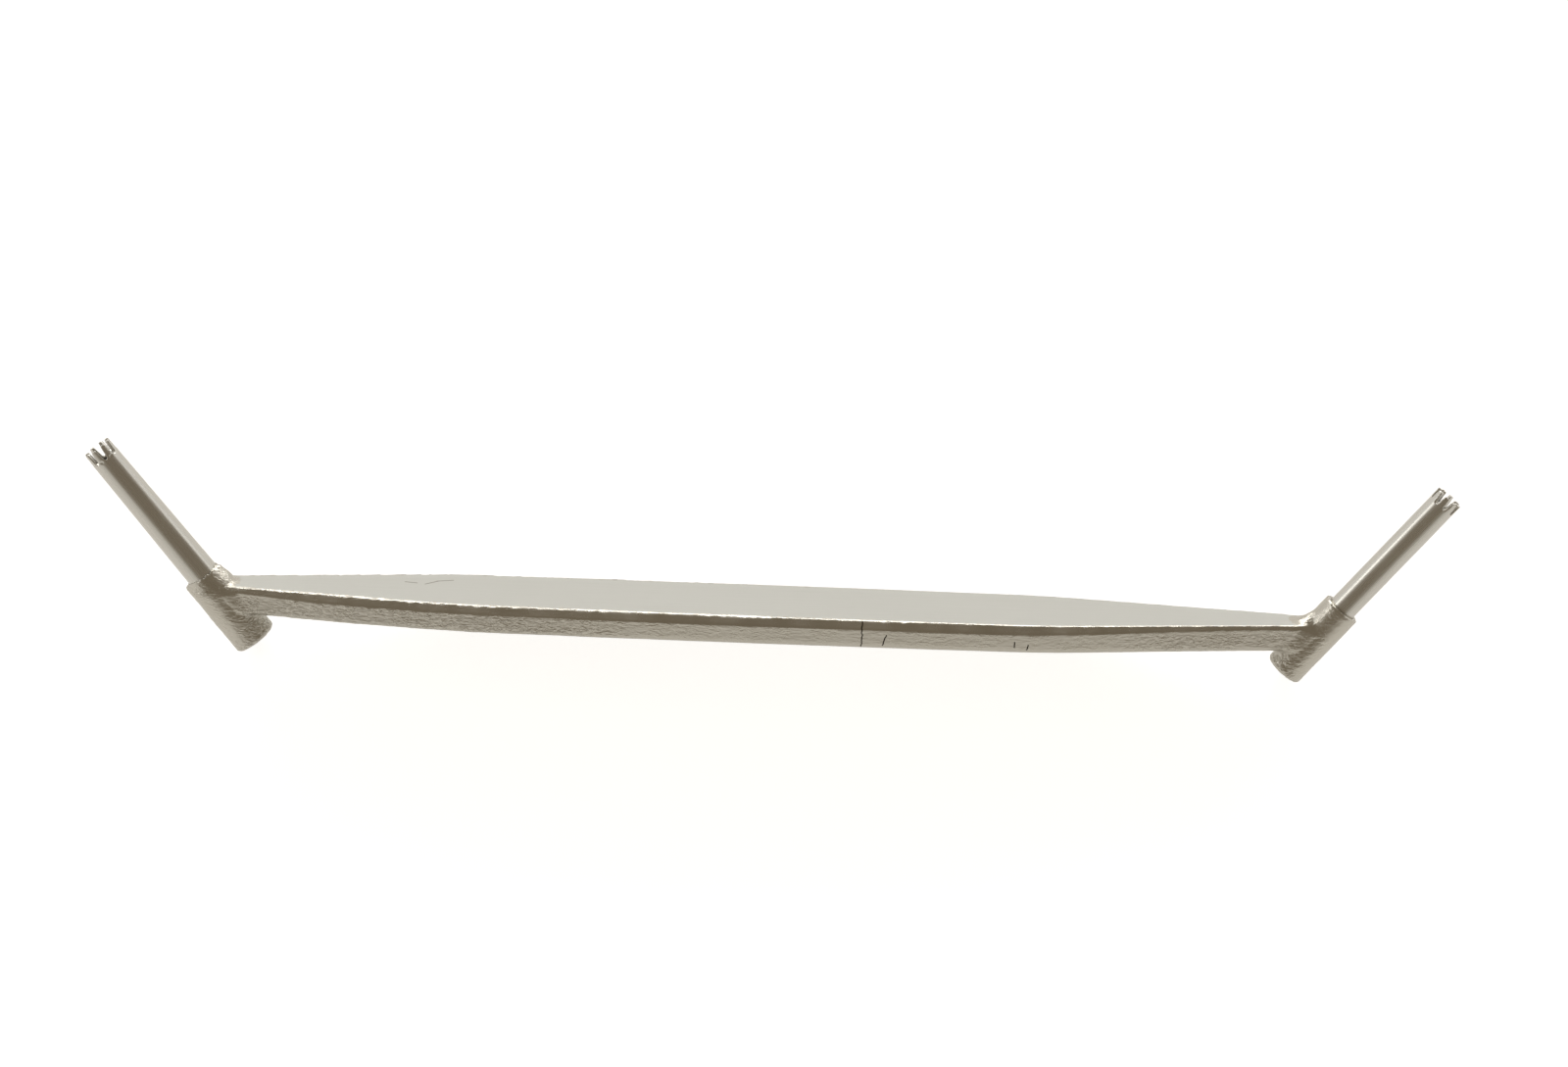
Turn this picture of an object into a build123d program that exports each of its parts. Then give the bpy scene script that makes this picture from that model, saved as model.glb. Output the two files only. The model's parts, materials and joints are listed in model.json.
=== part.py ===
from build123d import *
from math import atan2, cos, degrees, radians, sin, tan
import os

# Double-ended drill guide for bone screws: one cast handle carries a guide tube at
# each end, a large one and a small one, both leaning outwards and toothed at the tip
# so that they grip the bone. All sizes are in millimetres.

# The whole tool, seen with the handle level
axis_span = 143.0  # between the two tube axes, on the handle's middle plane
tube_lean = 52.0  # angle of each tube above the handle, in degrees

# Handle: flat on top, with a casting ridge round its side
handle_thickness = 3.8
belly_half_width = 5.6  # of the flat top, in the middle
shoulder_half_width = 5.3  # of the flat top, where the tapers begin
large_shoulder = 41.0  # from the middle to the shoulder at the large end
small_shoulder = 36.0
shoulder_radius = 100.0
large_neck_half_width = 1.75  # of the flat top where it ends, inside the large boss
small_neck_half_width = 1.5
ridge_drop = 0.9  # the ridge runs this far below the top
ridge_width = 0.9  # and stands out this far past the flat top
ridge_land = 0.15  # height of the ridge's blunt crest
draft_angle = 8.0  # of the side below the ridge
bottom_radius = 0.9

# Bosses: cast sleeves that hold the tubes. The large one is stout up to the ridge, and
# from there a slim collar goes on round the tube
large_boss_radius = 2.9
large_collar_radius = 2.4
large_boss_above = 3.6  # along the axis, from the handle's middle plane to the boss's end
large_boss_below = 7.7
small_boss_radius = 2.55
small_boss_above = 4.85
small_boss_below = 6.55
large_collar_round = 0.15
small_collar_round = 0.15
boss_rim_chamfer = 0.3
large_gusset_radius = 3.0  # between the flat top and the boss
small_gusset_radius = 4.5
underside_radius = 0.6

# Guide tubes: each passes through its boss and ends flush with the boss's lower end. The
# large one narrows from its collar to its tip
large_drill = 2.7
small_drill = 2.0
drill_clearance = 0.1  # on the diameter
large_tube_radius = 2.15
large_tip_radius = 1.9
small_tube_radius = 1.85
tube_reach = 25.0  # along the axis, from the handle's middle plane to the tips
entry_chamfer = 0.25  # leads the drill into the tube

# Crowns: the ring of teeth at each tip
large_teeth = 8
small_teeth = 8
large_notch_depth = 1.8
small_notch_depth = 1.5
large_root_radius = 0.34
small_root_radius = 0.32
notch_flare = 3.0  # each flank leans back by this many degrees
large_crown_turn = -4.0  # from the tube's underside to the first tooth
small_crown_turn = 22.0

large_bore_radius = (large_drill + drill_clearance) / 2
small_bore_radius = (small_drill + drill_clearance) / 2
large_taper_angle = degrees(
    atan2(large_tube_radius - large_tip_radius, tube_reach - large_boss_above)
)

# Each tube stands along the normal of its own plane, whose X axis points to its underside
lean = radians(tube_lean)
large_axis = Plane(
    origin=(-axis_span / 2, 0, 0),
    x_dir=(-sin(lean), 0, -cos(lean)),
    z_dir=(-cos(lean), 0, sin(lean)),
)
small_axis = Plane(
    origin=(axis_span / 2, 0, 0),
    x_dir=(sin(lean), 0, -cos(lean)),
    z_dir=(cos(lean), 0, sin(lean)),
)
top = Plane.XY.offset(handle_thickness / 2)
bottom = Plane.XY.offset(-handle_thickness / 2)
boss_length = large_boss_above + large_boss_below + small_boss_above + small_boss_below

# The flat top's outline: a slight belly between two shoulders, then a straight taper to
# the neck at each end. It ends where the tube's axis passes the height of the ridge, which
# is where the boss is widest at that height
neck_reach = axis_span / 2 + (handle_thickness / 2 - ridge_drop) / tan(lean)
with BuildSketch() as flat_top:
    with BuildLine():
        belly = ThreePointArc(
            (-large_shoulder, shoulder_half_width),
            (0, belly_half_width),
            (small_shoulder, shoulder_half_width),
        )
        Polyline(belly @ 0, (-neck_reach, large_neck_half_width), (-neck_reach, 0))
        Polyline(belly @ 1, (neck_reach, small_neck_half_width), (neck_reach, 0))
        mirror(about=Plane.XZ)
    make_face()
    shoulders = flat_top.vertices().filter_by_position(Axis.X, -large_shoulder, small_shoulder)
    fillet(shoulders, shoulder_radius)

side_height = handle_thickness - ridge_drop - ridge_land
setback = side_height * tan(radians(draft_angle))
ridge = top.offset(-ridge_drop - ridge_land / 2)

# The stout part of the large boss, cut off level with the ridge's crest
with BuildPart() as stout_boss:
    with BuildSketch(large_axis.offset(-large_boss_below)):
        Circle(large_boss_radius)
    extrude(amount=boss_length)
    split(bisect_by=ridge, keep=Keep.BOTTOM)

# Everything that the casting may fill: the handle with its bevel, ridge and draft, the
# room over and under it for the fillets at the bosses, and the bosses themselves. The room
# under the handle keeps inside its flat underside
with BuildPart() as envelope:
    with BuildSketch(bottom):
        add(flat_top.sketch)
        offset(amount=ridge_width)
    extrude(amount=handle_thickness)
    chamfer(envelope.faces().sort_by(Axis.Z)[-1].edges(), ridge_drop, ridge_width)
    chamfer(envelope.faces().sort_by(Axis.Z)[0].edges(), side_height, setback)
    fillet(envelope.faces().sort_by(Axis.Z)[0].edges(), bottom_radius)
    with BuildSketch(top):
        add(flat_top.sketch)
    extrude(amount=max(large_gusset_radius, small_gusset_radius))
    with BuildSketch():
        add(flat_top.sketch)
        offset(amount=-bottom_radius / 2)
    extrude(amount=-handle_thickness / 2 - underside_radius * (1 + cos(lean)))
    add(stout_boss.part)
    with BuildSketch(large_axis):
        Circle(large_collar_radius)
    extrude(amount=boss_length)
    with BuildSketch(small_axis.offset(-small_boss_below)):
        Circle(small_boss_radius)
    extrude(amount=boss_length)
    split(bisect_by=large_axis.offset(large_boss_above), keep=Keep.BOTTOM)
    split(bisect_by=small_axis.offset(small_boss_above), keep=Keep.BOTTOM)

# The handle is trimmed from a wide slab whose bosses already carry their fillets
with BuildPart() as handle:
    with BuildSketch(bottom):
        Rectangle(axis_span + 2 * boss_length, 2 * boss_length)
    extrude(amount=handle_thickness)
    with BuildSketch(large_axis):
        Circle(large_collar_radius)
    extrude(amount=boss_length)
    add(stout_boss.part)
    with BuildSketch(small_axis):
        Circle(small_boss_radius)
    extrude(amount=boss_length, both=True)
    junctions = handle.edges().filter_by(GeomType.ELLIPSE).group_by(Axis.Z)
    undersides, gussets = junctions[0], junctions[-1].sort_by(Axis.X)
    fillet(undersides, underside_radius)
    fillet(gussets[0], large_gusset_radius)
    fillet(gussets[-1], small_gusset_radius)
    add(envelope.part, mode=Mode.INTERSECT)

    large_ends = handle.faces().filter_by(large_axis).sort_by(Axis.Z)
    small_ends = handle.faces().filter_by(small_axis).sort_by(Axis.Z)
    chamfer((large_ends[0].edges(), small_ends[0].edges()), boss_rim_chamfer)
    fillet(large_ends[-1].edges(), large_collar_round)
    fillet(small_ends[-1].edges(), small_collar_round)

    with BuildSketch(large_axis):
        Circle(large_tube_radius)
    extrude(amount=boss_length, both=True, mode=Mode.SUBTRACT)
    with BuildSketch(small_axis):
        Circle(small_tube_radius)
    extrude(amount=boss_length, both=True, mode=Mode.SUBTRACT)


# The cutter for one gap between teeth: round at the root, flaring towards the tip, and
# reaching from the tube's axis out through its wall
def notch_outline(depth, root_radius):
    root = CenterArc((0, root_radius - depth), root_radius, 180 + notch_flare, 180 - 2 * notch_flare)
    rise = depth + root_radius
    spread = rise * tan(radians(notch_flare))
    near = Line(root @ 0, root @ 0 + Vector(-spread, rise))
    far = Line(root @ 1, root @ 1 + Vector(spread, rise))
    Line(near @ 1, far @ 1)


with BuildPart() as large_notch:
    with BuildSketch(Plane.YZ):
        with BuildLine():
            notch_outline(large_notch_depth, large_root_radius)
        make_face()
    extrude(amount=2 * large_tube_radius)

with BuildPart() as small_notch:
    with BuildSketch(Plane.YZ):
        with BuildLine():
            notch_outline(small_notch_depth, small_root_radius)
        make_face()
    extrude(amount=2 * small_tube_radius)

with BuildPart() as large_guide_tube:
    with BuildSketch(large_axis.offset(-large_boss_below)):
        Circle(large_tube_radius)
    extrude(amount=large_boss_below + large_boss_above)
    with BuildSketch(large_axis.offset(large_boss_above)):
        Circle(large_tube_radius)
    extrude(amount=tube_reach - large_boss_above, taper=large_taper_angle)
    with BuildSketch(large_axis.offset(-large_boss_below)):
        Circle(large_bore_radius)
    extrude(amount=large_boss_below + tube_reach, mode=Mode.SUBTRACT)
    entry = large_guide_tube.faces().filter_by(large_axis).sort_by(Axis.Z)[0]
    chamfer(entry.edges().sort_by(SortBy.LENGTH)[0], entry_chamfer)
    first_gap = large_crown_turn + 180 / large_teeth
    with Locations(large_axis.offset(tube_reach)):
        with PolarLocations(0, large_teeth, start_angle=first_gap):
            add(large_notch.part, mode=Mode.SUBTRACT)

with BuildPart() as small_guide_tube:
    with BuildSketch(small_axis.offset(-small_boss_below)):
        Circle(small_tube_radius)
        Circle(small_bore_radius, mode=Mode.SUBTRACT)
    extrude(amount=small_boss_below + tube_reach)
    entry = small_guide_tube.faces().filter_by(small_axis).sort_by(Axis.Z)[0]
    chamfer(entry.edges().sort_by(SortBy.LENGTH)[0], entry_chamfer)
    first_gap = small_crown_turn + 180 / small_teeth
    with Locations(small_axis.offset(tube_reach)):
        with PolarLocations(0, small_teeth, start_angle=first_gap):
            add(small_notch.part, mode=Mode.SUBTRACT)


# The tool can't stand on its bosses, so it lies on its side, on three feet: the rim of
# each boss's lower end, and the lower edge of the belly between them
def rim_foot(axis, boss_below, boss_radius):
    rim = axis.offset(boss_rim_chamfer - boss_below)
    outwards = down - axis.z_dir * down.dot(axis.z_dir)
    return rim.origin + outwards.normalized() * boss_radius


def belly_foot():
    edge_height = bottom_radius - handle_thickness / 2
    draft = radians(draft_angle)
    edge_offset = ridge_width - setback + bottom_radius * (tan(draft) - 1 / cos(draft))
    outwards = Vector(down.X, down.Y, 0).normalized()
    edge = belly.arc_center + outwards * (belly.radius + edge_offset)
    return edge + Vector(0, 0, edge_height) + down * bottom_radius


down = Vector(0, 1, -1).normalized()
settled = False
while not settled:
    large_foot = rim_foot(large_axis, large_boss_below, large_boss_radius)
    small_foot = rim_foot(small_axis, small_boss_below, small_boss_radius)
    normal = (belly_foot() - large_foot).cross(small_foot - large_foot).normalized()
    settled = normal == down
    down = normal

# The floor's plane through the feet, then moved to the middle of the tool's footprint
floor = Plane(origin=large_foot, x_dir=(1, 0, 0), z_dir=-down)
tool = Compound([handle.part, large_guide_tube.part, small_guide_tube.part])
footprint = floor.to_local_coords(tool).bounding_box()
middle = footprint.center()
floor.origin = floor.from_local_coords(Vector(middle.X, middle.Y, footprint.min.Z))
handle.part = floor.to_local_coords(handle.part)
large_guide_tube.part = floor.to_local_coords(large_guide_tube.part)
small_guide_tube.part = floor.to_local_coords(small_guide_tube.part)

handle.part.label = "handle"
large_guide_tube.part.label = "large_guide_tube"
small_guide_tube.part.label = "small_guide_tube"

os.makedirs("parts", exist_ok=True)
export_step(handle.part, "parts/handle.step")
export_step(large_guide_tube.part, "parts/large_guide_tube.step")
export_step(small_guide_tube.part, "parts/small_guide_tube.step")
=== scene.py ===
import json
import math
import bpy
from mathutils import Matrix, Vector, noise


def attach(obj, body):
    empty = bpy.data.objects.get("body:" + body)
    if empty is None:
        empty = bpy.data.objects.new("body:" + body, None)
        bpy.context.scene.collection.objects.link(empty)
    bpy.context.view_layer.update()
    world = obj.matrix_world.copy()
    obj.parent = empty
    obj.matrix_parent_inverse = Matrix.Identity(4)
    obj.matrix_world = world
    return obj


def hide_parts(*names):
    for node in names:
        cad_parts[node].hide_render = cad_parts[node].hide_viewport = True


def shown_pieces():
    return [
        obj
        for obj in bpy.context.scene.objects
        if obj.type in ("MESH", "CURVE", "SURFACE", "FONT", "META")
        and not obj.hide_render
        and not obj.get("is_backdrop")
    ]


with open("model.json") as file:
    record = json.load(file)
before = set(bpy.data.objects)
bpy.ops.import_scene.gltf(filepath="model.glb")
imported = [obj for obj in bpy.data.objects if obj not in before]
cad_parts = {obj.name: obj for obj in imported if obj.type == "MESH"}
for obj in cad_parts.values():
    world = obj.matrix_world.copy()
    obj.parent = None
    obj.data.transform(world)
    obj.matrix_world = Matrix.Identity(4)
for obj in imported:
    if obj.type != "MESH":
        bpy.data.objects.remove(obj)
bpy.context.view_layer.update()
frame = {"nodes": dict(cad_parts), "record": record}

# Double-ended drill guide lying on a pale table: one cast stainless handle and two drawn tubes
mm = 0.001
scene = bpy.context.scene


# The tool's own axes, read from the two bores: X along the handle, Z square to its flat top
def boreLine(name):
    mount = next(m for m in frame["record"]["mounts"] if m["name"] == name)
    return Vector(mount["pos_m"]), -Vector(mount["axis"]).normalized()


handleSet = {
    "voxel": 0.255 * mm,  # fine enough to carry the casting skin
    "halfThickness": 1.9 * mm,
    "shoulders": (-41.0 * mm, 36.0 * mm),  # where the flat top begins to taper
    "necks": (-72.3 * mm, 72.3 * mm),  # where it ends
    "neckWidths": (1.75 * mm, 1.5 * mm),  # half widths
    "shoulderWidth": 5.3 * mm,
    "bellyWidth": 5.6 * mm,
    "ridge": 0.9 * mm,  # how far the casting ridge stands out, and drops below the top
    "ridgeLand": 0.15 * mm,
    "thinRidge": (0.55, 0.38),  # share of the ridge that is left at each end, where more was ground off
    "thinFrom": (-56.0 * mm, 28.0 * mm),
    "thinBy": (-72.0 * mm, 66.0 * mm),
    "thinClear": 1.2 * mm,  # the thinning fades out over this distance from a boss
    "thinBelow": 0.01 * mm,  # nothing nearer the top's level than this moves
    "undersideEdge": -1.6 * mm,  # outwards from the flat top's edge, as is the next
    "sideEdge": -0.3 * mm,
    "topWithin": 0.03 * mm,  # what lies this near the top's level is part of the ground top
    "topFacing": 0.985,
}
bossSet = {
    "ledge": 0.925 * mm,  # above the middle plane, where the large boss steps in to its collar
    "ledgeSlack": 0.06 * mm,
    "collarSlack": 0.03 * mm,
    "large": {"below": 7.7 * mm, "above": 3.6 * mm, "radius": 2.9 * mm, "collar": 2.4 * mm,
              "coneFrom": 1.3 * mm, "coneEnd": 2.24 * mm, "coneLow": -1.0 * mm, "coneInside": 2.3 * mm},
    "small": {"below": 6.55 * mm, "above": 4.85 * mm, "radius": 2.55 * mm, "collar": 2.55 * mm},
}
tubeSet = {
    "voxel": 0.108 * mm,
    "large": {"root": 2.15 * mm, "tip": 1.9 * mm, "bore": 1.4 * mm, "notch": 1.8 * mm},
    "small": {"root": 1.85 * mm, "tip": 1.85 * mm, "bore": 1.05 * mm, "notch": 1.5 * mm},
    "broaden": 0.15 * mm,
    "broadenTo": 1.3,  # in notch depths down from the tip
    "flankFacing": 0.3,
    "reach": 25.0 * mm,  # from the handle's middle plane to the tips
}
meshSet = {
    "joinWithin": 0.001 * mm,
    "facetDepth": 0.04 * mm,  # how far a facet may lie from the round form it stands for
}

largeStart, largeAim = boreLine("large_bore")
smallStart, smallAim = boreLine("small_bore")
alongHandle = (smallAim - largeAim).normalized()
offTop = (smallAim + largeAim).normalized()
acrossHandle = offTop.cross(alongHandle).normalized()
largeCross = largeStart + largeAim * bossSet["large"]["below"]
smallCross = smallStart + smallAim * bossSet["small"]["below"]
bosses = ((largeCross, largeAim, bossSet["large"]), (smallCross, smallAim, bossSet["small"]))
handleAxes = Matrix((alongHandle, acrossHandle, offTop)).transposed()
handleToWorld = Matrix.Translation((largeCross + smallCross) / 2) @ handleAxes.to_4x4()
worldToHandle = handleToWorld.inverted()


# Scene colours are written as sRGB hex and turned to linear here
def hexColour(code):
    parts = [int(code[i:i + 2], 16) / 255 for i in (1, 3, 5)]
    return [p / 12.92 if p <= 0.04045 else ((p + 0.055) / 1.055) ** 2.4 for p in parts] + [1.0]


# Adds one node; keys are socket names or numbers first, else the node's own settings
def addNode(tree, kind, settings={}, links={}):
    node = tree.nodes.new(kind)
    for key, value in settings.items():
        if isinstance(key, int) or key in node.inputs:
            node.inputs[key].default_value = value
        else:
            setattr(node, key, value)
    for key, source in links.items():
        tree.links.new(source, node.inputs[key])
    return node


# Spreads a value from one range over another
def mapRange(tree, value, before, after, kind="LINEAR"):
    return addNode(tree, "ShaderNodeMapRange", {
        "interpolation_type": kind, "From Min": before[0], "From Max": before[1],
        "To Min": after[0], "To Max": after[1],
    }, {"Value": value})


def ramp(value, start, end):  # 0 at start, 1 at end, eased at both
    share = min(max((value - start) / (end - start), 0), 1)
    return share * share * (3 - 2 * share)


# Camera at the photograph's angle
cameraSet = {
    "elevation": math.radians(21),  # above the flat top
    "roll": math.radians(2.13),
    "target": (1.68 * mm, 0, 11.32 * mm),  # in the handle's axes
    "distance": 0.5,
    "lens": 88.9,
    "sensor": 36,
}


def placeCamera():
    back = handleAxes @ Vector((0, -math.cos(cameraSet["elevation"]), math.sin(cameraSet["elevation"])))
    up = offTop - back * offTop.dot(back)
    up = Matrix.Rotation(cameraSet["roll"], 3, back) @ up.normalized()
    side = up.cross(back)
    target = handleToWorld @ Vector(cameraSet["target"])
    bpy.ops.object.camera_add(location=target + back * cameraSet["distance"])
    camera = bpy.context.object
    camera.name = "photoCamera"
    camera.rotation_euler = Matrix((side, up, back)).transposed().to_euler()
    camera.data.lens = cameraSet["lens"]
    camera.data.sensor_width = cameraSet["sensor"]
    scene.camera = camera


placeCamera()
print("camera placed")

# Studio: pale surroundings low down, a dim ceiling that comes lower on the right, and soft
# boxes at the sides and behind
studioSet = {
    "farGlow": "#ffffff",
    "nearGlow": "#e6e3dc",
    "ceiling": "#8b8172",
    "tilt": (0.13, -0.03),  # how much lower the ceiling begins on the right and on the near side
    "glowEnds": 0.28,
    "ceilingStarts": 0.56,
    "softBoxes": (
        # name, bearing from +Y towards +X, elevation, width, height, radiance
        ("leftBox", -82, 25, 0.50, 0.17, 2.2),
        ("rightBox", 74, 18, 0.40, 0.18, 0.9),
        ("farBox", 0, 13, 1.50, 0.26, 4.0),
    ),
    "boxDistance": 0.9,
    "floorColour": "#e9e8e5",
    "floorGlow": 0.75,
    "glowMirrored": 0.66,  # share of it that the metal mirrors
    "floorSize": 4.0,
}


def lightStudio():
    world = bpy.data.worlds.new("studio")
    scene.world = world
    world.use_nodes = True
    tree = world.node_tree
    tree.nodes.clear()
    coords = addNode(tree, "ShaderNodeTexCoord")
    axes = addNode(tree, "ShaderNodeSeparateXYZ", {}, {0: coords.outputs["Generated"]})
    across = addNode(tree, "ShaderNodeMath", {"operation": "MULTIPLY_ADD", 1: studioSet["tilt"][1]},
                     {0: axes.outputs["Y"], 2: axes.outputs["Z"]})
    height = addNode(tree, "ShaderNodeMath", {"operation": "MULTIPLY_ADD", 1: studioSet["tilt"][0]},
                     {0: axes.outputs["X"], 2: across.outputs[0]})
    fade = mapRange(tree, height.outputs[0], (studioSet["glowEnds"], studioSet["ceilingStarts"]),
                    (0.0, 1.0), "SMOOTHSTEP")
    depth = mapRange(tree, axes.outputs["Y"], (-1.0, 1.0), (0.0, 1.0))
    glow = addNode(tree, "ShaderNodeMix", {
        "data_type": "RGBA", 6: hexColour(studioSet["nearGlow"]), 7: hexColour(studioSet["farGlow"]),
    }, {0: depth.outputs["Result"]})
    tone = addNode(tree, "ShaderNodeMix", {
        "data_type": "RGBA", 7: hexColour(studioSet["ceiling"]),
    }, {0: fade.outputs["Result"], 6: glow.outputs[2]})
    room = addNode(tree, "ShaderNodeBackground", {"Strength": 1.0}, {"Color": tone.outputs[2]})
    white = addNode(tree, "ShaderNodeBackground", {"Color": (1, 1, 1, 1), "Strength": 1.0})
    ray = addNode(tree, "ShaderNodeLightPath")
    both = addNode(tree, "ShaderNodeMixShader", {}, {
        0: ray.outputs["Is Camera Ray"], 1: room.outputs[0], 2: white.outputs[0],
    })
    addNode(tree, "ShaderNodeOutputWorld", {}, {"Surface": both.outputs[0]})
    for name, bearing, elevation, width, height, radiance in studioSet["softBoxes"]:
        a, e = math.radians(bearing), math.radians(elevation)
        aim = Vector((math.sin(a) * math.cos(e), math.cos(a) * math.cos(e), math.sin(e)))
        bpy.ops.object.light_add(type="AREA", location=aim * studioSet["boxDistance"])
        box = bpy.context.object
        box.name = name
        box.rotation_euler = aim.to_track_quat("Z", "Y").to_euler()
        box.data.shape = "RECTANGLE"
        box.data.size, box.data.size_y = width, height
        box.data.energy = radiance * math.pi * width * height


def floorMaterial():
    material = bpy.data.materials.new("paleTable")
    material.use_nodes = True
    tree = material.node_tree
    tree.nodes.clear()
    paint = addNode(tree, "ShaderNodeBsdfDiffuse", {"Color": hexColour(studioSet["floorColour"])})
    glow = addNode(tree, "ShaderNodeEmission", {"Color": (1, 1, 1, 1), "Strength": studioSet["floorGlow"]})
    ray = addNode(tree, "ShaderNodeLightPath")
    seen = addNode(tree, "ShaderNodeMath", {"operation": "MULTIPLY_ADD", 1: studioSet["glowMirrored"]}, {
        0: ray.outputs["Is Glossy Ray"], 2: ray.outputs["Is Camera Ray"],
    })
    lift = addNode(tree, "ShaderNodeMixShader", {}, {0: seen.outputs[0], 2: glow.outputs[0]})
    total = addNode(tree, "ShaderNodeAddShader", {}, {0: paint.outputs[0], 1: lift.outputs[0]})
    addNode(tree, "ShaderNodeOutputMaterial", {}, {"Surface": total.outputs[0]})
    return material


def layFloor():
    bpy.ops.mesh.primitive_plane_add(size=studioSet["floorSize"], location=(0, 0, 0))
    floor = bpy.context.object
    floor.name = "table"
    floor.data.materials.append(floorMaterial())
    floor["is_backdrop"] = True


lightStudio()
layFloor()
print("studio lit")


# A bare metal's shader in its colour and roughness, with the object's coordinates for its patterns
def metalTree(name, metal):
    material = bpy.data.materials.new(name)
    material.use_nodes = True
    skin = material.node_tree.nodes["Principled BSDF"]
    skin.inputs["Metallic"].default_value = 1.0
    skin.inputs["Base Color"].default_value = hexColour(metal["colour"])
    skin.inputs["Roughness"].default_value = metal["roughness"]
    coords = addNode(material.node_tree, "ShaderNodeTexCoord")
    return material, material.node_tree, skin, coords.outputs["Object"]


# Coordinates turned to the given axes and measured in steps of the given size, so that a pattern
# runs along the handle or along a tube
def steps(tree, coords, axes, size):
    return addNode(tree, "ShaderNodeMapping", {
        "vector_type": "TEXTURE", "Rotation": axes.to_euler(), "Scale": size,
    }, {0: coords}).outputs[0]


noiseSpan = (0.3, 0.7)  # where most of a noise pattern's values lie


# The metal's roughness follows a noise pattern, within the metal's own spread
def spreadGloss(tree, pattern, metal):
    least, most = (metal["roughness"] + part for part in metal["glossSpread"])
    return mapRange(tree, pattern.outputs[0], noiseSpan, (least, most))


# Investment-cast stainless, blasted and tumbled: a warm grey skin, dull, with fine wrinkles and
# pits that break up every highlight
castSet = {
    "colour": "#c6c2b8",
    "darker": "#b4afa3",
    "roughness": 0.26,
    "glossSpread": (-0.05, 0.07),
    "mottle": 4.0 * mm,
    "wrinkle": (0.95 * mm, 0.34 * mm, 0.34 * mm),  # long way along the handle
    "wrinkleDepth": 0.28 * mm,
    "grit": 0.16 * mm,
    "gritDepth": 0.015 * mm,
    "bevelFades": (0.75 * mm, 0.95 * mm),  # above the middle plane, where the wrinkles calm down
    "endFades": (67.5 * mm, 69.5 * mm),  # along the handle, where the bosses take over
    "endShare": 0.35,
    # painted shade: this dark colour of the cracks stands in for the shade inside grooves that are not
    # modelled
    "crack": "#2c2620",
    "crackWidth": 0.16 * mm,
    "crackSway": 0.5 * mm,
    "crackBend": 0.5 * mm,  # length of the sway's bends
    "cracks": (  # from one place to another, along the handle and above its middle plane
        ((12.1 * mm, 1.8 * mm), (12.1 * mm, -1.6 * mm)),
        ((15.2 * mm, 0.3 * mm), (14.8 * mm, -1.3 * mm)),
        ((31.8 * mm, -0.1 * mm), (31.8 * mm, -1.0 * mm)),
        ((33.6 * mm, -0.5 * mm), (33.4 * mm, -1.3 * mm)),
    ),
}


# Fine straight marks on a surface, each from one place to another in two of its coordinates
def strokeShare(tree, across, up, strokes, width):
    total = None
    for start, stop in strokes:
        line = Vector(stop) - Vector(start)
        middle = (Vector(stop) + Vector(start)) / 2
        length = line.length
        line.normalize()
        inside = []
        for turn, reach in (((line.x, line.y), length / 2), ((-line.y, line.x), width / 2)):
            part = addNode(tree, "ShaderNodeMath", {"operation": "MULTIPLY", 1: turn[0]}, {0: across})
            whole = addNode(tree, "ShaderNodeMath", {"operation": "MULTIPLY_ADD", 1: turn[1]},
                            {0: up, 2: part.outputs[0]})
            inside.append(addNode(tree, "ShaderNodeMath", {
                "operation": "COMPARE", 1: middle.x * turn[0] + middle.y * turn[1], 2: reach,
            }, {0: whole.outputs[0]}))
        mark = addNode(tree, "ShaderNodeMath", {"operation": "MULTIPLY"},
                       {0: inside[0].outputs[0], 1: inside[1].outputs[0]})
        if total is not None:
            mark = addNode(tree, "ShaderNodeMath", {"operation": "MAXIMUM"},
                           {0: total.outputs[0], 1: mark.outputs[0]})
        total = mark
    return total.outputs[0]


# Hairline cracks run down the front side near the middle, painted as dark lines: painted shade for the
# grooves, which the mesh doesn't cut
def crackShadeShare(tree, along, middle):
    sway = addNode(tree, "ShaderNodeTexNoise", {
        "noise_dimensions": "1D", "Scale": 1 / castSet["crackBend"], "Detail": 2.0,
    }, {"W": along.outputs[2]})
    half = castSet["crackSway"] / 2
    shift = mapRange(tree, sway.outputs[0], (0.0, 1.0), (-half, half))
    across = addNode(tree, "ShaderNodeMath", {"operation": "ADD"}, {0: shift.outputs[0], 1: along.outputs[0]})
    up = addNode(tree, "ShaderNodeMath", {"operation": "SUBTRACT", 1: middle}, {0: along.outputs[2]})
    cracks = strokeShare(tree, across.outputs[0], up.outputs[0], castSet["cracks"], castSet["crackWidth"])
    front = addNode(tree, "ShaderNodeMath", {
        "operation": "LESS_THAN", 1: handleToWorld.translation.dot(acrossHandle),
    }, {0: along.outputs[1]})
    shown = addNode(tree, "ShaderNodeMath", {"operation": "MULTIPLY"}, {0: cracks, 1: front.outputs[0]})
    return shown.outputs[0]


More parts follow.
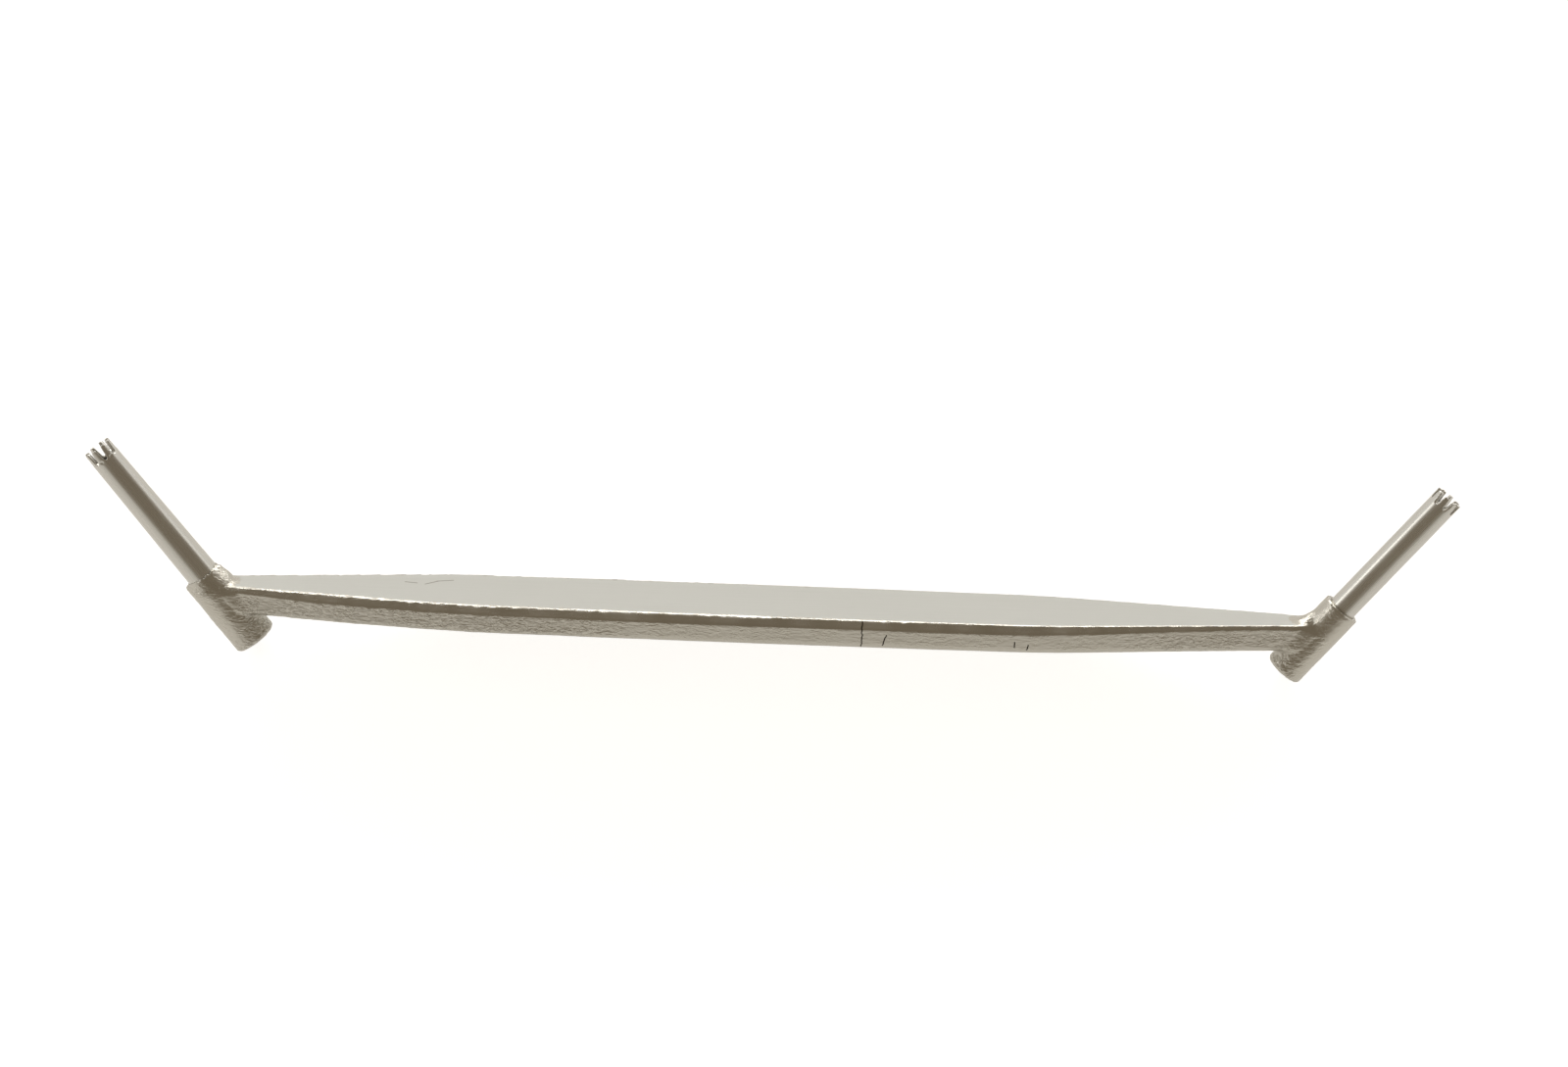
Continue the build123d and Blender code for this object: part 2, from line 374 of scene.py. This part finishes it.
# How strong the wrinkles are along the handle, on its bevel and on the bosses
def wrinkleStrength(tree, along, middle):
    left = mapRange(tree, along.outputs[0], skinSet["left"], (1.0, skinSet["calm"]), "SMOOTHSTEP")
    right = mapRange(tree, along.outputs[0], skinSet["right"], (0.0, skinSet["rightShare"]), "SMOOTHSTEP")
    zone = addNode(tree, "ShaderNodeMath", {"operation": "MAXIMUM"},
                   {0: left.outputs[0], 1: right.outputs[0]})
    low, high = castSet["bevelFades"]
    bevel = mapRange(tree, along.outputs[2], (middle + low, middle + high), (1.0, skinSet["bevelShare"]))
    far = addNode(tree, "ShaderNodeMath", {"operation": "ABSOLUTE"}, {0: along.outputs[0]})
    ends = mapRange(tree, far.outputs[0], castSet["endFades"], (0.0, castSet["endShare"]))
    body = mapRange(tree, far.outputs[0], castSet["endFades"], (1.0, castSet["endShare"]))
    sides = addNode(tree, "ShaderNodeMath", {"operation": "MINIMUM"},
                    {0: bevel.outputs[0], 1: body.outputs[0]})
    calm = addNode(tree, "ShaderNodeMath", {"operation": "MAXIMUM"},
                   {0: sides.outputs[0], 1: ends.outputs[0]})
    return addNode(tree, "ShaderNodeMath", {"operation": "MULTIPLY"},
                   {0: zone.outputs[0], 1: calm.outputs[0]})


def castStainless():
    material, tree, skin, coords = metalTree("castStainless", castSet)
    mottle = addNode(tree, "ShaderNodeTexNoise", {"Scale": 1 / castSet["mottle"], "Detail": 3.0},
                     {"Vector": coords})
    tone = addNode(tree, "ShaderNodeMix", {
        "data_type": "RGBA", 6: hexColour(castSet["darker"]), 7: hexColour(castSet["colour"]),
    }, {0: mottle.outputs[0]})
    gloss = spreadGloss(tree, mottle, castSet)
    wrinkle = addNode(tree, "ShaderNodeTexNoise", {
        "Scale": 1.0, "Detail": 2.5, "Roughness": 0.6, "Distortion": 0.6,
    }, {"Vector": steps(tree, coords, handleAxes, castSet["wrinkle"])})
    grit = addNode(tree, "ShaderNodeTexNoise", {"Scale": 1 / castSet["grit"], "Detail": 1.0},
                   {"Vector": coords})
    fine = addNode(tree, "ShaderNodeBump", {"Distance": castSet["gritDepth"]}, {"Height": grit.outputs[0]})
    along = addNode(tree, "ShaderNodeSeparateXYZ", {}, {0: steps(tree, coords, handleAxes, (1, 1, 1))})
    middle = handleToWorld.translation.dot(offTop)
    strength = wrinkleStrength(tree, along, middle)
    bump = addNode(tree, "ShaderNodeBump", {"Distance": castSet["wrinkleDepth"]},
                   {"Strength": strength.outputs[0], "Height": wrinkle.outputs[0], "Normal": fine.outputs[0]})
    cracks = crackShadeShare(tree, along, middle)
    # the cracks are darkened with painted shade
    paintedCrackShade = addNode(tree, "ShaderNodeMix", {"data_type": "RGBA", 7: hexColour(castSet["crack"])},
                   {0: cracks, 6: tone.outputs[2]})
    tree.links.new(paintedCrackShade.outputs[2], skin.inputs["Base Color"])
    tree.links.new(gloss.outputs[0], skin.inputs["Roughness"])
    tree.links.new(bump.outputs[0], skin.inputs["Normal"])
    return material


# The handle's top, linished flat: paler, satin, with faint lines along the handle
groundSet = {
    "colour": "#c5c5bf",
    "roughness": 0.36,
    "glossSpread": (-0.05, 0.05),
    "line": (9.0 * mm, 0.14 * mm, 0.14 * mm),  # real belt lines are finer than the render can show
    "lineDepth": 0.0010 * mm,
    "scratch": "#8f8b82",
    "scratchWidth": 0.22 * mm,
    "scratches": (  # from one place to another, along the handle and across it
        ((-47.6 * mm, 1.9 * mm), (-45.9 * mm, 1.6 * mm)),
        ((-44.9 * mm, 1.3 * mm), (-43.3 * mm, 2.5 * mm)),
        ((-43.5 * mm, 2.5 * mm), (-41.3 * mm, 3.0 * mm)),
    ),
}


def groundStainless():
    material, tree, skin, coords = metalTree("groundStainless", groundSet)
    lines = addNode(tree, "ShaderNodeTexNoise", {"Scale": 1.0, "Detail": 2.0},
                    {"Vector": steps(tree, coords, handleAxes, groundSet["line"])})
    gloss = spreadGloss(tree, lines, groundSet)
    bump = addNode(tree, "ShaderNodeBump", {"Distance": groundSet["lineDepth"]}, {"Height": lines.outputs[0]})
    place = addNode(tree, "ShaderNodeSeparateXYZ", {}, {0: steps(tree, coords, handleAxes, (1, 1, 1))})
    back = addNode(tree, "ShaderNodeMath", {
        "operation": "SUBTRACT", 1: handleToWorld.translation.dot(acrossHandle),
    }, {0: place.outputs[1]})
    scratches = strokeShare(tree, place.outputs[0], back.outputs[0], groundSet["scratches"],
                            groundSet["scratchWidth"])
    tone = addNode(tree, "ShaderNodeMix", {
        "data_type": "RGBA", 6: hexColour(groundSet["colour"]), 7: hexColour(groundSet["scratch"]),
    }, {0: scratches})
    tree.links.new(tone.outputs[2], skin.inputs["Base Color"])
    tree.links.new(gloss.outputs[0], skin.inputs["Roughness"])
    tree.links.new(bump.outputs[0], skin.inputs["Normal"])
    return material


# Drawn stainless tube, polished lengthwise: smooth, with soft long reflections
drawnSet = {
    "colour": "#c6c3bb",
    "roughness": 0.26,
    "glossSpread": (-0.03, 0.05),
    "line": (0.20 * mm, 0.20 * mm, 6.0 * mm),  # long way along the tube
    "lineDepth": 0.0012 * mm,
}


def drawnStainless(name, aim):
    material, tree, skin, coords = metalTree(name, drawnSet)
    tubeAxes = aim.to_track_quat("Z", "Y").to_matrix()
    lines = addNode(tree, "ShaderNodeTexNoise", {"Scale": 1.0, "Detail": 2.0},
                    {"Vector": steps(tree, coords, tubeAxes, drawnSet["line"])})
    gloss = spreadGloss(tree, lines, drawnSet)
    bump = addNode(tree, "ShaderNodeBump", {"Distance": drawnSet["lineDepth"]}, {"Height": lines.outputs[0]})
    tree.links.new(gloss.outputs[0], skin.inputs["Roughness"])
    tree.links.new(bump.outputs[0], skin.inputs["Normal"])
    return material


def selectOnly(piece):
    bpy.ops.object.select_all(action="DESELECT")
    bpy.context.view_layer.objects.active = piece
    piece.select_set(True)


def mergeNear(piece, distance):
    selectOnly(piece)
    bpy.ops.object.mode_set(mode="EDIT")
    bpy.ops.mesh.select_all(action="SELECT")
    bpy.ops.mesh.remove_doubles(threshold=distance)
    bpy.ops.object.mode_set(mode="OBJECT")


# A CAD node's mesh, joined up and remeshed densely, then pulled back onto the node's own surface
def denseCopy(node, name, voxel):
    joined = bpy.data.objects.new(name + "_true", frame["nodes"][node].data.copy())
    scene.collection.objects.link(joined)
    mergeNear(joined, meshSet["joinWithin"])
    piece = bpy.data.objects.new(name, joined.data.copy())
    scene.collection.objects.link(piece)
    selectOnly(piece)
    remesh = piece.modifiers.new("dense", "REMESH")
    remesh.mode = "VOXEL"
    remesh.voxel_size = voxel
    remesh.use_smooth_shade = True
    bpy.ops.object.modifier_apply(modifier="dense")
    wrap = piece.modifiers.new("trueForm", "SHRINKWRAP")
    wrap.target = joined
    wrap.wrap_method = "NEAREST_SURFACEPOINT"
    bpy.ops.object.modifier_apply(modifier="trueForm")
    bpy.data.objects.remove(joined)
    piece.data.materials.clear()
    return piece


# How far up a bore's axis a point lies, and the arrow to it from the axis
def aboutAxis(point, cross, aim):
    reach = point - cross
    along = reach.dot(aim)
    return along, reach - aim * along


# Points that lie on a facet of a turned surface move out to its true radius, which runs evenly
# from one size to another between two distances along the axis
def trueRound(piece, cross, aim, near, far, nearRadius, farRadius):
    for vertex in piece.data.vertices:
        along, out = aboutAxis(vertex.co, cross, aim)
        share = min(max((along - near) / (far - near), 0), 1)
        radius = nearRadius + (farRadius - nearRadius) * share
        if abs(out.length - radius) < meshSet["facetDepth"]:
            vertex.co += out.normalized() * (radius - out.length)


# Half width of the flat top at a place along the handle
def flatHalfWidth(x):
    end = 0 if x < 0 else 1
    shoulder, neck = handleSet["shoulders"][end], handleSet["necks"][end]
    share = x / shoulder
    if share < 1:
        narrowing = handleSet["shoulderWidth"] - handleSet["bellyWidth"]
        return handleSet["bellyWidth"] + narrowing * share * share
    share = (x - shoulder) / (neck - shoulder)
    taper = handleSet["neckWidths"][end] - handleSet["shoulderWidth"]
    return handleSet["shoulderWidth"] + taper * share


# How far a point lies outside the bosses' skins
def clearOfBosses(point):
    height = (worldToHandle @ point).z
    gaps = []
    for cross, aim, size in bosses:
        skin = size["radius"] if height < bossSet["ledge"] else size["collar"]
        gaps.append(aboutAxis(point, cross, aim)[1].length - skin)
    return min(gaps)


# Towards each end the ridge was ground back, so the dark bevel under the top narrows there
def thinTheRidge(handle):
    ridge, land, half = handleSet["ridge"], handleSet["ridgeLand"], handleSet["halfThickness"]
    for vertex in handle.data.vertices:
        place = worldToHandle @ vertex.co
        end = 0 if place.x < 0 else 1
        cut = ramp(place.x, handleSet["thinFrom"][end], handleSet["thinBy"][end])
        cut *= ramp(clearOfBosses(vertex.co), 0, handleSet["thinClear"]) * (1 - handleSet["thinRidge"][end])
        out = abs(place.y) - flatHalfWidth(place.x)
        drop = half - place.z
        if cut <= 0 or drop <= handleSet["thinBelow"] or out <= handleSet["undersideEdge"]:
            continue
        if drop <= ridge:
            place.z += drop * cut
            inwards = max(out, 0) * cut
        else:
            place.z += ridge * cut * (1 - min(max((drop - ridge - land) / (2 * half - ridge - land), 0), 1))
            inwards = ridge * cut * ramp(out, handleSet["undersideEdge"], handleSet["sideEdge"])
        place.y -= math.copysign(inwards, place.y)
        vertex.co = handleToWorld @ place


# The ground top's edge is worn to a small uneven chamfer, which catches the light as a ragged line
edgeSet = {
    "width": 0.21 * mm,
    "unevenness": 1.3,
    "fall": math.tan(math.radians(20)),
    "wear": 0.9 * mm,  # length of the uneven parts
    "from": 5.0 * mm,  # fades out towards the right end
    "by": 50.0 * mm,
    "bossGap": 0.4 * mm,
}


def wearEdge(handle):
    half = handleSet["halfThickness"]
    for vertex in handle.data.vertices:
        place = worldToHandle @ vertex.co
        inside = flatHalfWidth(place.x) - abs(place.y)
        if abs(place.z - half) > handleSet["topWithin"] or clearOfBosses(vertex.co) < edgeSet["bossGap"]:
            continue
        spot = Vector((place.x / edgeSet["wear"], place.y / edgeSet["wear"], 0))
        uneven = 1 + edgeSet["unevenness"] * noise.noise(spot)
        width = edgeSet["width"] * uneven * (1 - ramp(place.x, edgeSet["from"], edgeSet["by"]))
        if inside < width:
            place.z -= (width - max(inside, 0)) * edgeSet["fall"]
            vertex.co = handleToWorld @ place


def coneRadius(size, along):
    share = (along - size["coneFrom"]) / (size["above"] - size["coneFrom"])
    return size["radius"] + (size["coneEnd"] - size["radius"]) * min(max(share, 0), 1)


# Above the ledge the large boss runs on into its tube as a cone, not as a stepped collar
def taperCollar(handle):
    size = bossSet["large"]
    lowest = bossSet["ledge"] - bossSet["ledgeSlack"]
    for vertex in handle.data.vertices:
        along, out = aboutAxis(vertex.co, largeCross, largeAim)
        if (worldToHandle @ vertex.co).z < lowest or not size["coneLow"] < along < size["above"]:
            continue
        radius = coneRadius(size, along)
        if size["coneInside"] < out.length < max(radius, size["collar"] + bossSet["collarSlack"]):
            vertex.co += out.normalized() * (radius - out.length)


# The gussets die away towards the handle's edges, so they wrap round the bosses
gussetSet = {
    "rise": 1.27,
    "flatten": 0.05,  # less rise for each mm of height
    "topSlack": 0.005 * mm,
    "bossSlack": 0.01 * mm,
    "mergeWithin": 0.02 * mm,
}


def wrapGussets(handle):
    half = handleSet["halfThickness"]
    for vertex in handle.data.vertices:
        place = worldToHandle @ vertex.co
        if place.z <= half + gussetSet["topSlack"] or clearOfBosses(vertex.co) <= gussetSet["bossSlack"]:
            continue
        share = min(abs(place.y) / flatHalfWidth(place.x), 1)
        height = place.z - half
        rise = gussetSet["rise"] - gussetSet["flatten"] * height / mm
        place.z = half + height * rise * (1 - share * share)
        vertex.co = handleToWorld @ place
        cross, aim, size = bosses[0] if place.x < 0 else bosses[1]
        along, out = aboutAxis(vertex.co, cross, aim)
        skin = coneRadius(size, along) if "coneEnd" in size else size["collar"]
        if out.length < skin:
            vertex.co += out.normalized() * (skin - out.length)
    mergeNear(handle, gussetSet["mergeWithin"])


# Gussets, their feet and the step to the large collar are smoothed into one cast surface
seamSet = {
    "ledgeOut": (2.1 * mm, 3.0 * mm),  # from the large bore's axis
    "ledgeHeight": (0.45 * mm, 2.2 * mm),  # above the middle plane
    "ledgeIn": 0.8 * mm,  # inwards from the flat top's end
    "bossReach": 9.0 * mm,
    "rimDepth": 0.7 * mm,
    "rimShare": 0.2,
    "aboveTop": 0.05 * mm,
    "foot": (1.6 * mm, 2.6 * mm),  # from a boss's skin
    "footDepth": 0.4 * mm,
    "factor": 0.5,
    "rounds": 20,
}


# Where the large boss steps in to its collar
def onLedge(point, place):
    out = aboutAxis(point, largeCross, largeAim)[1].length
    inside, outside = seamSet["ledgeOut"]
    low, high = seamSet["ledgeHeight"]
    pastTop = place.x < handleSet["necks"][0] + seamSet["ledgeIn"]
    return inside < out < outside and low < place.z < high and pastTop


# How strongly a point is blended in: gussets and their feet fully, the bosses' upper rims hardly
def seamShare(point, place):
    half = handleSet["halfThickness"]
    for cross, aim, size in bosses:
        reach = point - cross
        if abs(reach.x) < seamSet["bossReach"] and reach.dot(aim) > size["above"] - seamSet["rimDepth"]:
            return seamSet["rimShare"]
    if place.z > half + seamSet["aboveTop"] or onLedge(point, place):
        return 1.0
    foot = 1 - ramp(clearOfBosses(point), *seamSet["foot"])
    if place.z > half - seamSet["footDepth"] and foot > 0:
        return foot
    return 0.0


def blendSeams(handle):
    seams = handle.vertex_groups.new(name="seams")
    for vertex in handle.data.vertices:
        seams.add([vertex.index], seamShare(vertex.co, worldToHandle @ vertex.co), "REPLACE")
    smooth = handle.modifiers.new("blend", "SMOOTH")
    smooth.factor = seamSet["factor"]
    smooth.iterations = seamSet["rounds"]
    smooth.vertex_group = "seams"
    selectOnly(handle)
    bpy.ops.object.modifier_apply(modifier="blend")
    handle.vertex_groups.clear()


# Where the casting skin is strong: wrinkled at the left end, calm in the middle, rough again
# towards the right end, weak on the bevel, and none on the ground top
skinSet = {
    "left": (-34.0 * mm, -8.0 * mm),
    "right": (36.0 * mm, 56.0 * mm),
    "calm": 0.28,
    "rightShare": 0.75,
    "bevelShare": 0.2,
    "bevelDepth": 1.2 * mm,
    "topDepth": 0.12 * mm,
    "topSlack": 0.02 * mm,
    "long": 0.75 * mm,
    "short": 0.38 * mm,
    "depth": 0.07 * mm,
    "lumpSize": 3.2 * mm,
    "lumpDepth": 0.10 * mm,
}


def skinShare(place):
    half, slack = handleSet["halfThickness"], skinSet["topSlack"]
    inside = flatHalfWidth(place.x) - abs(place.y)
    if half - skinSet["topDepth"] < place.z < half + slack and inside > 0:
        return 0.0
    left = 1 - ramp(place.x, *skinSet["left"])
    right = skinSet["rightShare"] * ramp(place.x, *skinSet["right"])
    bevel = half - skinSet["bevelDepth"] < place.z < half - slack and inside <= 0
    return max(left, right, skinSet["calm"]) * (skinSet["bevelShare"] if bevel else 1.0)


def displace(piece, name, size, depth, group):
    bpy.ops.object.empty_add(location=handleToWorld.translation, rotation=handleAxes.to_euler())
    grain = bpy.context.object
    grain.scale = size
    texture = bpy.data.textures.new(name, "CLOUDS")
    texture.noise_scale = 1.0
    texture.noise_depth = 1
    bpy.context.view_layer.update()
    selectOnly(piece)
    move = piece.modifiers.new(name, "DISPLACE")
    move.texture = texture
    move.texture_coords = "OBJECT"
    move.texture_coords_object = grain
    move.strength = depth
    move.mid_level = 0.5
    move.vertex_group = group
    bpy.ops.object.modifier_apply(modifier=name)
    bpy.data.objects.remove(grain)
    bpy.data.textures.remove(texture)


# After the skin is raised, nothing of it stands above the ground top or below the table
def roughenHandle(handle):
    half = handleSet["halfThickness"]
    skin = handle.vertex_groups.new(name="skin")
    before = [worldToHandle @ vertex.co for vertex in handle.data.vertices]
    for vertex, place in zip(handle.data.vertices, before):
        skin.add([vertex.index], skinShare(place), "REPLACE")
    long, short = skinSet["long"], skinSet["short"]
    displace(handle, "lumps", (skinSet["lumpSize"],) * 3, skinSet["lumpDepth"], "skin")
    displace(handle, "wrinkles", (long, short, short), skinSet["depth"], "skin")
    for vertex, old in zip(handle.data.vertices, before):
        place = worldToHandle @ vertex.co
        if old.z < half + skinSet["topSlack"] and place.z > half:
            place.z = half
            vertex.co = handleToWorld @ place
        vertex.co.z = max(vertex.co.z, 0)
    handle.vertex_groups.clear()


def dressHandle():
    handle = denseCopy("handle", "cast_handle", handleSet["voxel"])
    for cross, aim, size in bosses:
        for radius in {size["radius"], size["collar"]}:
            trueRound(handle, cross, aim, -size["below"], size["above"], radius, radius)
    thinTheRidge(handle)
    taperCollar(handle)
    wrapGussets(handle)
    blendSeams(handle)
    wearEdge(handle)
    roughenHandle(handle)
    handle.data.materials.append(castStainless())
    handle.data.materials.append(groundStainless())
    half = handleSet["halfThickness"]
    for face in handle.data.polygons:
        onTop = abs((worldToHandle @ face.center).z - half) < handleSet["topWithin"]
        if onTop and face.normal.dot(offTop) > handleSet["topFacing"]:
            face.material_index = 1
    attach(handle, "root")
    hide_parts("handle")


# The notches narrow towards their roots, so the teeth stand on broad feet
def broadenTeeth(tube, cross, aim, depth):
    normals = [vertex.normal.copy() for vertex in tube.data.vertices]
    for vertex, normal in zip(tube.data.vertices, normals):
        along, out = aboutAxis(vertex.co, cross, aim)
        down = (tubeSet["reach"] - along) / depth
        if 0 < down < tubeSet["broadenTo"]:
            sideways = aim.cross(out.normalized())
            facing = normal.dot(sideways)
            if abs(facing) > tubeSet["flankFacing"]:
                vertex.co += sideways * (facing * tubeSet["broaden"] * min(down, 1))


def dressTube(node, name, cross, aim, boss, size):
    tube = denseCopy(node, name, tubeSet["voxel"])
    trueRound(tube, cross, aim, boss["above"], tubeSet["reach"], size["root"], size["tip"])
    trueRound(tube, cross, aim, -boss["below"], tubeSet["reach"], size["bore"], size["bore"])
    broadenTeeth(tube, cross, aim, size["notch"])
    tube.data.materials.append(drawnStainless("drawnStainless_" + name, aim))
    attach(tube, "root")
    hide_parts(node)


dressHandle()
print("handle dressed")
dressTube("large_guide_tube", "large_tube", largeCross, largeAim, bossSet["large"], tubeSet["large"])
dressTube("small_guide_tube", "small_tube", smallCross, smallAim, bossSet["small"], tubeSet["small"])
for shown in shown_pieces():
    print(shown.name, len(shown.data.polygons))
print("tubes dressed")

scene.view_settings.view_transform = "Standard"
